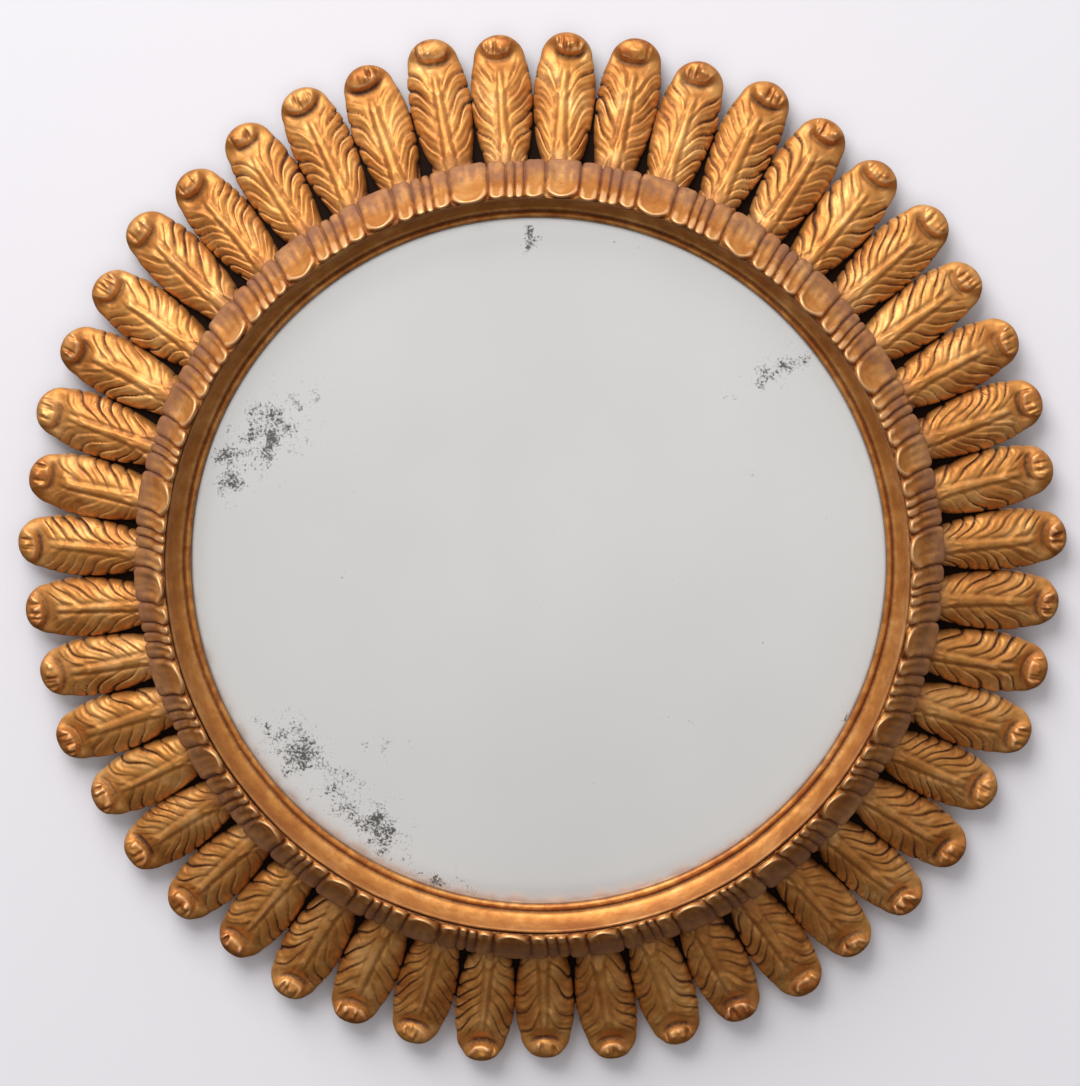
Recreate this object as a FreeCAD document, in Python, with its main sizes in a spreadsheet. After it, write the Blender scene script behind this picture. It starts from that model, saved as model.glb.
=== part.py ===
import FreeCAD, Part
import math
import os

import Sketcher
from FreeCAD import Placement, Rotation, Vector

# A round convex mirror in a carved giltwood frame: a ring of leaves that fan out from a
# band of gadroons, a cove-shaped sight moulding and a domed glass.
#
# Every piece is drawn lying on a bench: X and Y across the frame, Z the depth off the wall,
# with the wall at Z = 0.  hang() then stands it up, front to -Y, with the origin in the
# middle of the keyhole that the mirror hangs by.

SIZES = (
    # the ring of leaves
    ("leaf_count", 47, "leaves round the frame"),
    ("first_leaf", 3.1, "first leaf, degrees clockwise from the top"),
    ("leaf_root_radius", 301.5, "where a leaf starts"),
    ("leaf_slide", 3.0, "most that a leaf sits in or out of line"),
    ("leaf_twist", 0.35, "most that a leaf is turned in its place, degrees"),
    ("shoulder_share", 0.72, "a leaf's shoulder, as a share of its half width"),
    ("rib_half", 4.2, "rib down a leaf's middle, half its width"),
    # stations along a leaf: place, half width, lift of the underside, and the heights of the
    # side, shoulder, groove and rib over the underside
    ("root_place", 0.0, "leaf's root"),
    ("root_half", 17.0, ""),
    ("root_lift", 0.0, ""),
    ("root_side", 4.0, ""),
    ("root_shoulder", 11.0, ""),
    ("root_groove", 12.8, ""),
    ("root_rib", 16.2, ""),
    ("belly_place", 60.0, "widest part, where the leaves meet"),
    ("belly_half", 22.8, ""),
    ("belly_lift", 0.0, ""),
    ("belly_side", 2.8, ""),
    ("belly_shoulder", 8.5, ""),
    ("belly_groove", 10.6, ""),
    ("belly_rib", 14.1, ""),
    ("crease_place", 81.5, "crease under the rolled tip"),
    ("crease_half", 20.3, ""),
    ("crease_lift", 0.0, ""),
    ("crease_side", 3.2, ""),
    ("crease_shoulder", 6.5, ""),
    ("crease_groove", 7.7, ""),
    ("crease_rib", 8.0, ""),
    ("roll_place", 89.0, "crest of the roll"),
    ("roll_half", 18.6, ""),
    ("roll_lift", 1.9, ""),
    ("roll_side", 2.8, ""),
    ("roll_shoulder", 9.0, ""),
    ("roll_groove", 11.8, ""),
    ("roll_rib", 12.1, ""),
    ("fall_place", 96.0, "front of the roll"),
    ("fall_half", 14.9, ""),
    ("fall_lift", 3.7, ""),
    ("fall_side", 2.8, ""),
    ("fall_shoulder", 8.0, ""),
    ("fall_groove", 10.0, ""),
    ("fall_rib", 10.2, ""),
    ("tip_place", 101.5, "leaf's tip"),
    ("tip_half", 7.0, ""),
    ("tip_lift", 5.0, ""),
    ("tip_side", 1.2, ""),
    ("tip_shoulder", 2.8, ""),
    ("tip_groove", 3.6, ""),
    ("tip_rib", 3.9, ""),
    # the back ring with its sloped seat for the leaves
    ("bore_radius", 272.0, "opening through the frame"),
    ("seat_inner", 300.0, "seat's inner edge, to the middle of a side"),
    ("seat_outer", 352.0, "ring's outer edge, to the middle of a side"),
    ("seat_slope", 18.0, "seat's slope, degrees"),
    ("ring_depth", 38.0, "thickness of the back ring"),
    ("board_seat", 284.0, "rebate for the backboard, radius"),
    ("board_depth", 12.0, "rebate for the backboard, depth"),
    ("notch_half", 27.0, "notch for a turn button, half its length"),
    ("notch_outer", 312.0, "notch for a turn button, outer side"),
    ("notch_depth", 6.0, "notch for a turn button, depth"),
    # the core ring, the gadroon band and the sight moulding on it
    ("core_outer", 297.0, "core ring's outside, to the middle of a side"),
    ("core_top", 56.0, "core ring's front face"),
    ("band_edge", 304.0, "groove line at the band's outer edge"),
    ("band_knee", 291.0, "groove line at the foot of the scooped face"),
    ("band_knee_depth", 70.0, "depth of that line"),
    ("band_crest", 285.6, "the band's outside at its crest"),
    ("band_top", 93.0, "crest of the band"),
    ("fringe_low", 288.2, "groove line inside the band, at its foot"),
    ("fringe_high", 284.0, "groove line inside the band, at the crest"),
    ("repeats", 26, "repeats of the gadroons"),
    ("first_gadroon", 3.75, "first wide gadroon, degrees clockwise from the top"),
    ("wide_share", 0.39, "a wide gadroon's share of one repeat"),
    ("medium_share", 0.20, "a medium gadroon's share"),
    ("narrow_share", 0.105, "a narrow gadroon's share"),
    ("gadroon_relief", 0.0132, "a wide gadroon over its grooves, as a share of the radius"),
    ("crest_relief", 0.0, "the same at the crest, where the gadroons run into one line"),
    ("tongue_reach", 0.014, "a wide gadroon's end inside its grooves, likewise"),
    ("sight_radius", 264.0, "visible edge of the glass"),
    ("sight_outer", 281.5, "sight moulding's outside"),
    ("bead_rise", 4.5, "the small bead's top over the core ring"),
    ("groove_rise", 2.6, "the groove beside the bead"),
    ("cove_top", 79.0, "top of the cove"),
    # the glass and what holds it
    ("glass_radius", 270.0, "edge of the glass"),
    ("dome_radius", 1415.0, "radius of the domed face"),
    ("glass_thick", 4.0, "thickness of the glass"),
    ("block_count", 8, "glazing blocks"),
    ("block_half", 15.0, "half a block's length"),
    ("block_wide", 12.0, "block's width, across the frame"),
    ("block_floor", 39.0, "block's back face"),
    ("block_top", 50.6, "block's front face, under the glass"),
    # the back
    ("board_radius", 283.5, "backboard"),
    ("board_gap", 0.2, "backboard under the notches' floor"),
    ("button_pivot", 298.0, "turn button's screw, radius"),
    ("button_heel", 7.0, "a button's screwed end"),
    ("button_nose", 4.5, "a button's free end"),
    ("button_length", 21.0, "from the screw to the free end"),
    ("plate_thick", 2.0, "keyhole plate and turn buttons"),
    ("button_play", 0.1, "gap under a turn button"),
    ("running_gap", 0.08, "clearance round a screw"),
    ("hang_radius", 327.0, "keyhole, from the middle of the glass"),
    ("entry_radius", 5.0, "keyhole's entry"),
    ("slot_radius", 2.5, "keyhole's slot, half width"),
    ("slot_length", 9.0, "keyhole's slot"),
    ("plate_middle", 331.0, "keyhole plate's middle, from the middle of the glass"),
    ("plate_half_long", 25.0, "keyhole plate"),
    ("plate_half_wide", 11.0, "keyhole plate"),
    ("pocket_half", 7.0, "pocket behind the keyhole, half width"),
    ("pocket_long", 24.0, "pocket behind the keyhole"),
    ("pocket_depth", 11.0, "pocket behind the keyhole"),
    ("screw_head", 3.5, "round head's radius"),
    ("screw_head_thick", 1.6, "round head's thickness"),
    ("screw_shank", 1.75, "shank's radius"),
    ("screw_long", 16.0, "screw's length under the head"),
)

doc = FreeCAD.newDocument("convex_mirror")
sheet = doc.addObject("Spreadsheet::Sheet", "Sizes")
for row, (alias, value, note) in enumerate(SIZES, start=1):
    sheet.set(f"A{row}", note)
    sheet.set(f"B{row}", str(value))
    sheet.setAlias(f"B{row}", alias)
doc.recompute()

ALIASES = sorted((alias for alias, value, note in SIZES), key=len, reverse=True)


def bound(formula):
    """The formula with every named size written as a cell of the sheet."""
    words = []
    word = ""
    for letter in formula + " ":
        if letter.isalnum() or letter == "_":
            word += letter
            continue
        words.append("Sizes." + word if word in ALIASES else word)
        words.append(letter)
        word = ""
    return "".join(words).strip()


def size(formula):
    """The formula's value, from the sheet."""
    return float(sheet.evalExpression(bound(formula)))


def bind(thing, **formulas):
    """Bind properties of a document object to formulas of named sizes."""
    for name, formula in formulas.items():
        thing.setExpression(name, bound(formula))
    return thing


def hang(thing, place=Placement()):
    """Stand a piece up from the bench: depth to -Y, origin to the keyhole."""
    upright = Placement(Vector(0, 0, -size("hang_radius")), Rotation(Vector(1, 0, 0), 90))
    thing.Placement = upright.multiply(place)
    return thing


def clockwise(degrees, radius, depth=0.0):
    """A place on the bench, by its angle clockwise from the top."""
    angle = math.radians(90 - degrees)
    spot = Vector(radius * math.cos(angle), radius * math.sin(angle), depth)
    return Placement(spot, Rotation(Vector(0, 0, 1), 90 - degrees))


# ---------------------------------------------------------------- sketches and turned pieces

def fix_point(sketch, item, end, place, formulas):
    """Tie one end of a sketched line to its two formulas."""
    for kind, value, formula in zip(("DistanceX", "DistanceY"), (place.x, place.y), formulas):
        if formula is None:
            continue
        index = sketch.addConstraint(Sketcher.Constraint(kind, -1, 1, item, end, value))
        sketch.setExpression(f"Constraints[{index}]", bound(formula))


def arc_between(start, end, centre, turn_left):
    """The arc from start to end round centre, to the left or to the right."""
    radius = (start - centre).Length
    first = math.atan2(start.y - centre.y, start.x - centre.x)
    last = math.atan2(end.y - centre.y, end.x - centre.x)
    sweep = (last - first) % (2 * math.pi)
    if not turn_left:
        sweep -= 2 * math.pi
    middle = first + sweep / 2
    through = centre + Vector(radius * math.cos(middle), radius * math.sin(middle), 0)
    return Part.Arc(start, through, end)


def outline(body, name, plane, corners, arcs=None, offset="0"):
    """A closed sketch through the corners, each a pair of formulas.

    arcs gives, by the corner that an arc starts from, its centre's two formulas and whether
    it turns left.
    """
    arcs = arcs or {}
    sketch = body.newObject("Sketcher::SketchObject", name)
    support = next(f for f in body.Origin.OriginFeatures if f.Role == plane)
    sketch.AttachmentSupport = (support, [""])
    sketch.MapMode = "FlatFace"
    sketch.AttachmentOffset = Placement(Vector(0, 0, size(offset)), Rotation())
    sketch.setExpression("AttachmentOffset.Base.z", bound(offset))

    places = [Vector(size(across), size(up), 0) for across, up in corners]
    ends = []
    for item, start in enumerate(places):
        finish = places[(item + 1) % len(places)]
        if item in arcs:
            across, up, turn_left = arcs[item]
            centre = Vector(size(across), size(up), 0)
            sketch.addGeometry(arc_between(start, finish, centre, turn_left))
            chord = finish - start
            tied = (across, None) if abs(chord.y) > abs(chord.x) else (None, up)
            fix_point(sketch, item, 3, centre, tied)
            ends.append((1, 2) if turn_left else (2, 1))
        else:
            sketch.addGeometry(Part.LineSegment(start, finish))
            ends.append((1, 2))
    for item, (start, finish) in enumerate(ends):
        following = (item + 1) % len(ends)
        meet = Sketcher.Constraint("Coincident", item, finish, following, ends[following][0])
        sketch.addConstraint(meet)
        fix_point(sketch, item, start, places[item], corners[item])
    return sketch


def circle(body, name, radius):
    """A circle about the body's upright axis."""
    sketch = body.newObject("Sketcher::SketchObject", name)
    support = next(f for f in body.Origin.OriginFeatures if f.Role == "XY_Plane")
    sketch.AttachmentSupport = (support, [""])
    sketch.MapMode = "FlatFace"
    sketch.addGeometry(Part.Circle(Vector(), Vector(0, 0, 1), size(radius)))
    sketch.addConstraint(Sketcher.Constraint("Coincident", 0, 3, -1, 1))
    index = sketch.addConstraint(Sketcher.Constraint("Radius", 0, size(radius)))
    sketch.setExpression(f"Constraints[{index}]", bound(radius))
    return sketch


def true_planes(face):
    """A face drawn afresh through its corners, looking the same way out.

    It becomes one plane, or two if its four corners don't lie in one.
    """
    corners = [vertex.Point for vertex in face.OuterWire.OrderedVertexes]
    outlines = [corners]
    if len(corners) == 4:
        first, second, third, fourth = corners
        square_out = (second - first).cross(third - first).normalize()
        if abs((fourth - first).dot(square_out)) > 0.001:
            outlines = [[first, second, third], [first, third, fourth]]
    first_u, last_u, first_v, last_v = face.ParameterRange
    outward = face.normalAt((first_u + last_u) / 2, (first_v + last_v) / 2)
    planes = []
    for ends in outlines:
        plane = Part.Face(Part.makePolygon(ends + ends[:1]))
        if plane.normalAt(0, 0).dot(outward) < 0:
            plane.reverse()
        planes.append(plane)
    return planes


def flat_faced(name, source):
    """The same solid, with true planes for its faces."""
    doc.recompute()
    shell = Part.Shell([plane for face in source.Shape.Faces for plane in true_planes(face)])
    shell.sewShape()
    piece = doc.addObject("Part::Feature", name)
    piece.Shape = Part.Solid(shell)
    return piece


def turn(body, name, sketch):
    """Turn a sketch once round its upright axis."""
    turned = body.newObject("PartDesign::Revolution", name)
    turned.Profile = sketch
    turned.ReferenceAxis = (sketch, ["V_Axis"])
    turned.Angle = 360
    return turned


def turned_ring(name, corners, arcs=None):
    """A ring turned from one profile of radius and depth."""
    body = doc.addObject("PartDesign::Body", name)
    turn(body, name + "_turn", outline(body, name + "_profile", "XZ_Plane", corners, arcs))
    return hang(body)


def pad(body, name, sketch, length):
    """Pad a sketch along its plane's normal."""
    padded = body.newObject("PartDesign::Pad", name)
    padded.Profile = sketch
    return bind(padded, Length=length)


def link_to(thing, name, place):
    """One more of a piece that is made many times."""
    copy = doc.addObject("App::Link", name)
    copy.setLink(thing)
    copy.Placement = place
    return copy


# ---------------------------------------------------------------- turn buttons and screws

BUTTON_ANGLES = (45, 135, 225, 315)
BUTTON_BACK = size("notch_depth - button_play - plate_thick")
BUTTON_PLACES = [clockwise(angle, size("button_pivot"), BUTTON_BACK) for angle in BUTTON_ANGLES]


def pivot_screws():
    """Four round-head screws, one through each turn button."""
    body = doc.addObject("PartDesign::Body", "screw")
    corners = (
        ("0", "-screw_head_thick"), ("screw_head", "-screw_head_thick"), ("screw_head", "0"),
        ("screw_shank", "0"), ("screw_shank", "screw_long"), ("0", "screw_long"),
    )
    turn(body, "screw_turn", outline(body, "screw_profile", "XZ_Plane", corners))
    screws = doc.addObject("Part::Compound", "pivot_screws")
    screws.Links = [
        link_to(body, f"screw_{number}", place) for number, place in enumerate(BUTTON_PLACES, 1)
    ]
    return hang(screws)


def turn_buttons():
    """Four brass turn buttons, each on its screw, pointing in over the backboard."""
    body = doc.addObject("PartDesign::Body", "turn_button")
    side = (
        ("button_heel", "button_heel / 2"), ("button_heel / 2", "button_heel"),
        ("-button_length", "button_nose"), ("-button_length - button_nose", "button_nose / 2"),
    )
    other_side = tuple((along, f"-({across})") for along, across in reversed(side))
    plan = outline(body, "button_outline", "XY_Plane", side + other_side)
    pad(body, "button_pad", plan, "plate_thick")
    hole = body.newObject("PartDesign::Pocket", "button_hole")
    hole.Profile = circle(body, "button_hole_outline", "screw_shank + running_gap")
    hole.Type = "ThroughAll"
    hole.Midplane = True
    buttons = []
    for number, place in enumerate(BUTTON_PLACES, 1):
        buttons.append(hang(link_to(body, f"turn_button_{number}", Placement()), place))
    return buttons


# ---------------------------------------------------------------- the frame's carcass

def ruled_loft(name, outlines):
    """A solid between closed outlines, straight from each to the next."""
    loft = doc.addObject("Part::Loft", name)
    loft.Sections = outlines
    loft.Solid = True
    loft.Ruled = True
    return loft


def regular_outline(name, apothem, depth):
    """A many-sided outline with one side square to each leaf."""
    sides = doc.addObject("Part::RegularPolygon", name)
    bind(sides, Polygon="leaf_count", Circumradius=f"({apothem}) / cos(180 / leaf_count)")
    turned = Rotation(Vector(0, 0, 1), 90 - size("first_leaf + 180 / leaf_count"))
    sides.Placement = Placement(Vector(0, 0, size(depth)), turned)
    sides.setExpression("Placement.Base.z", bound(depth))
    return sides


def many_sided(name, apothem, low, high):
    """An upright prism with one side square to each leaf."""
    return ruled_loft(name, [
        regular_outline(f"{name}_low", apothem, low),
        regular_outline(f"{name}_high", apothem, high),
    ])


def cylinder(name, radius, height, place=Placement()):
    """A cylinder on the bench."""
    drum = bind(doc.addObject("Part::Cylinder", name), Radius=radius, Height=height)
    drum.Placement = place
    return drum


def centred_box(name, half_wide, long, height, centre):
    """A box about a place on the bench, half_wide to each side and long upwards."""
    box = doc.addObject("Part::Box", name)
    bind(box, Length=f"2 * ({half_wide})", Width=long, Height=height)
    box.Placement = Placement(centre - Vector(size(half_wide), size(long) / 2, 0), Rotation())
    return box


def back_ring():
    """The pine ring against the wall, its front cut to a sloped seat for every leaf."""
    rise = "(seat_outer - seat_inner) * tan(seat_slope)"
    blank = ruled_loft("back_ring_blank", [
        regular_outline("seat_back", "seat_outer", "0"),
        regular_outline("seat_foot", "seat_outer", f"ring_depth - {rise}"),
        regular_outline("seat_head", "seat_inner", "ring_depth"),
    ])
    plate_centre = Vector(0, size("plate_middle"), 0)
    cutters = [
        many_sided("back_bore", "bore_radius", "0", "ring_depth"),
        many_sided("board_rebate", "board_seat", "0", "board_depth"),
        centred_box("plate_recess", "plate_half_long", "2 * plate_half_wide", "plate_thick",
                    plate_centre),
        centred_box("nail_pocket", "pocket_half", "pocket_long", "pocket_depth", plate_centre),
    ]
    notch_middle = size("(board_seat + notch_outer) / 2 - 2")
    for number, angle in enumerate(BUTTON_ANGLES, 1):
        notch = centred_box(f"notch_{number}", "(notch_outer - board_seat) / 2 + 2",
                            "2 * notch_half", "notch_depth", Vector())
        notch.Placement = clockwise(angle, notch_middle).multiply(notch.Placement)
        cutters.append(notch)
    for number, place in enumerate(BUTTON_PLACES, 1):
        cutters.append(cylinder(f"pilot_{number}", "screw_shank + running_gap",
                                "screw_long + 0.5", place))
    tools = doc.addObject("Part::MultiFuse", "back_ring_tools")
    tools.Shapes = cutters
    ring = doc.addObject("Part::Cut", "back_ring")
    ring.Base = blank
    ring.Tool = tools
    return hang(ring)


def core_ring():
    """The ring of glued segments on the back ring, under the band and the moulding."""
    cut = doc.addObject("Part::Cut", "core_ring")
    cut.Base = many_sided("core_outside", "core_outer", "ring_depth", "core_top")
    cut.Tool = many_sided("core_inside", "bore_radius", "ring_depth - 1", "core_top + 1")
    return hang(cut)


def sight_moulding():
    """The turned moulding over the glass: a small bead, a groove and a cove up to the band."""
    groove = "core_top + groove_rise"
    return turned_ring("sight_moulding", (
        ("sight_outer", "core_top"), ("sight_outer", "cove_top"),
        ("sight_outer - 2.2", "cove_top"), ("sight_outer - 4.6", f"{groove} + 7.2"),
        ("sight_radius + 5", groove),
        ("sight_radius + 2.5", "core_top + bead_rise"), ("sight_radius", "core_top"),
    ))


# ---------------------------------------------------------------- the gadroon band

def gadroons():
    """One repeat of the band, clockwise: each gadroon's share, its facets and its size.

    The two narrow ones between the medium ones are cut as a pair of flats.
    """
    wide = (size("wide_share"), 3, 1.0)
    medium = (size("medium_share"), 2, 0.7)
    narrow = (size("narrow_share"), 1, 0.0)
    return (wide, medium, narrow, narrow, medium)


def lobed_outline(name, groove, reach, depth):
    """A closed outline of lobes between grooves.

    Every lobe is half an ellipse that stands off the groove line by the reach, a share of
    the radius, and a smaller gadroon by less.  A negative reach points inwards.
    """
    repeat = 360 / size("repeats")
    groove_radius, height = size(groove), size(depth)
    corners = []
    for number in range(round(size("repeats"))):
        start = size("first_gadroon") + repeat * (number - size("wide_share") / 2)
        for share, facets, scale in gadroons():
            for facet in range(facets):
                part = facet / facets
                bulge = math.sqrt(1 - (2 * part - 1) ** 2)
                radius = groove_radius * (1 + size(reach) * scale * bulge)
                corners.append(clockwise(start + repeat * share * part, radius, height).Base)
            start += repeat * share
    line = doc.addObject("Part::Polygon", name)
    line.Nodes = corners
    line.Close = True
    return line


def gadroon_band():
    """The carved band: gadroons up its scooped slope, each ending in a tongue over the crest."""
    body = ruled_loft("band_body", [
        lobed_outline("band_edge_line", "band_edge", "gadroon_relief", "core_top"),
        lobed_outline("band_knee_line", "band_knee", "gadroon_relief", "band_knee_depth"),
        lobed_outline("band_crest_line", "band_crest", "crest_relief", "band_top"),
    ])
    tongues = ruled_loft("tongue_bore", [
        lobed_outline("fringe_low_line", "fringe_low", "-tongue_reach", "core_top"),
        lobed_outline("fringe_high_line", "fringe_high", "-tongue_reach", "band_top"),
    ])
    band = doc.addObject("Part::Cut", "gadroon_band")
    band.Base = flat_faced("band_body_flat", body)
    band.Tool = flat_faced("tongue_bore_flat", tongues)
    return hang(band)


# ---------------------------------------------------------------- the leaves

def leaf_station(body, name):
    """A leaf's cross-section at one station: flat back, low sides, two shoulders, and a rib
    between two grooves."""
    half, lift = f"{name}_half", f"{name}_lift"
    right = (
        (half, lift), (half, f"{lift} + {name}_side"),
        (f"shoulder_share * {half}", f"{lift} + {name}_shoulder"),
        ("rib_half", f"{lift} + {name}_groove"),
    )
    ridge = (("0", f"{lift} + {name}_rib"),)
    left = tuple((f"-({across})", up) for across, up in reversed(right))
    return outline(body, f"leaf_{name}", "YZ_Plane", right + ridge + left,
                   offset=f"{name}_place")


def leaf_master():
    """One carved leaf, root to rolled tip, lying along X with its back down."""
    body = doc.addObject("PartDesign::Body", "leaf_body")
    stations = ("root", "belly", "crease", "roll", "fall", "tip")
    sketches = [leaf_station(body, name) for name in stations]
    loft = body.newObject("PartDesign::AdditiveLoft", "leaf_loft")
    loft.Profile = sketches[0]
    loft.Sections = sketches[1:]
    loft.Ruled = True
    return flat_faced("leaf", body)


def leaf_place(number):
    """A leaf's place on its side of the seat, a little out of line as the carver left it."""
    pitch = 360 / size("leaf_count")
    slide = size("leaf_slide") * math.sin(2.4 * number)
    twist = size("leaf_twist") * math.sin(3.7 * number + 1)
    down = size("seat_slope")
    drop = (size("leaf_root_radius") - size("seat_inner")) * math.tan(math.radians(down))
    foot = clockwise(size("first_leaf") + pitch * number, size("leaf_root_radius"),
                     size("ring_depth") - drop)
    slope = Placement(Vector(), Rotation(Vector(0, 1, 0), down))
    nudge = Placement(Vector(slide, 0, 0), Rotation(Vector(0, 0, 1), twist))
    return foot.multiply(slope).multiply(nudge)


def leaves():
    """The ring of leaves, leaf_01 at the top and clockwise."""
    master = leaf_master()
    ring = []
    for number in range(round(size("leaf_count"))):
        leaf = link_to(master, f"leaf_{number + 1:02d}", Placement())
        ring.append(hang(leaf, leaf_place(number)))
    return ring


# ---------------------------------------------------------------- the glass and the back

def ball(name, radius, top):
    """A ball that reaches up to a depth on the bench's axis, its poles to the sides."""
    sphere = bind(doc.addObject("Part::Sphere", name), Radius=radius)
    sphere.Placement = Placement(Vector(), Rotation(Vector(0, 1, 0), 90))
    sphere.setExpression("Placement.Base.z", bound(f"{top} - ({radius})"))
    return sphere


def convex_glass():
    """The domed glass: a disc between two concentric balls."""
    rise = "dome_radius - sqrt(dome_radius^2 - sight_radius^2)"
    top = f"core_top - 0.1 + {rise}"
    blank = cylinder("glass_blank", "glass_radius", "band_top")
    front = ball("glass_front", "dome_radius", top)
    back = ball("glass_back", "dome_radius - glass_thick", f"{top} - glass_thick")
    disc = doc.addObject("Part::Common", "glass_disc")
    disc.Base = blank
    disc.Tool = front
    glass = doc.addObject("Part::Cut", "convex_glass")
    glass.Base = disc
    glass.Tool = back
    return hang(glass)


def glazing_blocks():
    """Softwood blocks glued to the core ring's sides, that hold the glass up."""
    block = doc.addObject("Part::Box", "glazing_block")
    bind(block, Length="block_wide", Width="2 * block_half", Height="block_top - block_floor")
    pitch = 360 / size("leaf_count")
    count = round(size("block_count"))
    inner = size("bore_radius - block_wide")
    blocks = doc.addObject("Part::Compound", "glazing_blocks")
    links = []
    for number in range(count):
        side = round((number + 0.5) * size("leaf_count") / count)
        place = clockwise(size("first_leaf") + pitch * side, inner, size("block_floor"))
        corner = Placement(Vector(0, -size("block_half"), 0), Rotation())
        links.append(link_to(block, f"block_{number + 1}", place.multiply(corner)))
    blocks.Links = links
    return hang(blocks)


def backboard():
    """The thin board that closes the back, cut to the rebate's sides."""
    return hang(many_sided("backboard", "board_radius", "notch_depth + board_gap", "board_depth"))


def keyhole_plate():
    """The steel keyhole plate, let in flush with the back."""
    body = doc.addObject("PartDesign::Body", "keyhole_plate")
    low, high = "plate_middle - plate_half_wide", "plate_middle + plate_half_wide"
    corners = (
        ("-plate_half_long", low), ("plate_half_long", low),
        ("plate_half_long", high), ("-plate_half_long", high),
    )
    pad(body, "plate_pad", outline(body, "plate_outline", "XY_Plane", corners), "plate_thick")
    waist = "hang_radius + sqrt(entry_radius^2 - slot_radius^2)"
    slot_end = "hang_radius + slot_length"
    corners = (
        ("slot_radius", waist), ("slot_radius", slot_end), ("-slot_radius", slot_end),
        ("-slot_radius", waist), ("-entry_radius", "hang_radius"),
        ("entry_radius", "hang_radius"),
    )
    entry = ("0", "hang_radius", True)
    arcs = {1: ("0", slot_end, True), 3: entry, 4: entry, 5: entry}
    keyhole = body.newObject("PartDesign::Pocket", "keyhole")
    keyhole.Profile = outline(body, "keyhole_outline", "XY_Plane", corners, arcs)
    keyhole.Type = "ThroughAll"
    keyhole.Midplane = True
    return hang(body)


# ---------------------------------------------------------------- build, check and write

pieces = [back_ring(), core_ring(), gadroon_band(), sight_moulding(), convex_glass(),
          glazing_blocks(), backboard(), keyhole_plate(), pivot_screws()]
pieces += turn_buttons() + leaves()
doc.recompute()

failed = [thing.Name for thing in doc.Objects
          if "Invalid" in thing.State or "Error" in thing.State]
if failed:
    raise RuntimeError(f"not built: {failed}")

os.makedirs("parts", exist_ok=True)
for piece in pieces:
    shape = Part.getShape(piece)
    if shape.isNull() or not shape.isValid() or shape.Volume <= 0:
        raise RuntimeError(f"{piece.Label} has no sound shape")
    shape.exportStep(f"parts/{piece.Label}.step")
    print(piece.Label, len(shape.Solids), round(shape.Volume), shape.BoundBox)
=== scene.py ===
import math

import bpy
import numpy as np
from bpy.props import FloatProperty, FloatVectorProperty, IntProperty, PointerProperty
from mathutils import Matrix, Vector


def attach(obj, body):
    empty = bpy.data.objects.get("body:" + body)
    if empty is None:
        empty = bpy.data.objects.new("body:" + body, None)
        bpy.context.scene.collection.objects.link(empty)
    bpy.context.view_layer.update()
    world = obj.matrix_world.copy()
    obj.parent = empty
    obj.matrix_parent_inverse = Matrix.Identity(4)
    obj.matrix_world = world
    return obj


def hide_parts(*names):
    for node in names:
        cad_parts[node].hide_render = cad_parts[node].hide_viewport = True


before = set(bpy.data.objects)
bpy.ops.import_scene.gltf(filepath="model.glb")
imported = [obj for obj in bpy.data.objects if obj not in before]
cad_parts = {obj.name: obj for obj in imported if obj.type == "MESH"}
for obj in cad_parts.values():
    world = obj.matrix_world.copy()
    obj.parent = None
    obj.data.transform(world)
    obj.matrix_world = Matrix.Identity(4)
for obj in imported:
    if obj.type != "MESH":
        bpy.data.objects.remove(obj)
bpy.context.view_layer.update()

bl_info = {
    "name": "Giltwood convex mirror",
    "version": (1, 0, 0),
    "blender": (4, 5, 0),
    "location": "3D View > Sidebar > Mirror",
    "description": "Builds a convex mirror in a ring of carved and gilded leaves",
    "category": "Add Mesh",
}

MM = 0.001
FULL_TURN = 2 * math.pi
# the disc's middle, under the keyhole that the mirror hangs by
DISC = Vector((0, 0, -327 * MM))

# Sizes that follow the CAD pieces: millimetres off the disc's middle and off the wall, and
# degrees clockwise from the top.
LEAVES = 47
FIRST_LEAF = 3.1
LEAF_SLOPE = math.radians(18)
LEAF_FOOT = 301.5
LEAF_SEAT = 38 - 1.5 * math.tan(LEAF_SLOPE)
LEAF_CREASE = 84.0
LEAF_LENGTH = 101.5
GADROON_REPEATS = 26
FIRST_GADROON = 3.75
GADROON_RADIUS = 292
GADROON_CREST = 92.9
# the core ring's face, which the band and the moulding sit on
SEAT = 56.0
GLASS_CREST = 80.746
GLASS_CURVE = 1415.0
GLASS_THICK = 4.0


def linear(colour):
    """An sRGB hex colour as linear red, green, blue and alpha."""
    parts = (int(colour[at : at + 2], 16) / 255 for at in (1, 3, 5))
    curve = [p / 12.92 if p <= 0.04045 else ((p + 0.055) / 1.055) ** 2.4 for p in parts]
    return (*curve, 1.0)


def add(tree, kind, values=None, links=None, stops=None, **settings):
    """Add one shader node: its settings, the values of its free inputs, its linked inputs
    and, for a ramp, its stops as (place, colour)."""
    made = tree.nodes.new("ShaderNode" + kind)
    for name, value in settings.items():
        setattr(made, name, value)
    for socket, value in (values or {}).items():
        made.inputs[socket].default_value = value
    for socket, source in (links or {}).items():
        tree.links.new(source, made.inputs[socket])
    if stops:
        ramp = made.color_ramp.elements
        while len(ramp) < len(stops):
            ramp.new(1.0)
        for element, (place, colour) in zip(ramp, stops):
            element.position = place
            element.color = colour
    return made


def grey(level):
    """A grey for a ramp that holds a plain number."""
    return (level, level, level, 1.0)


def smooth_step(value, low, high):
    """0 under low, 1 over high, and an S-shaped rise between them."""
    t = np.clip((value - low) / (high - low), 0, 1)
    return t * t * (3 - 2 * t)


def bump_at(value, middle, width):
    """A bell of height 1 round the middle."""
    return np.exp(-(((value - middle) / width) ** 2))


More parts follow.
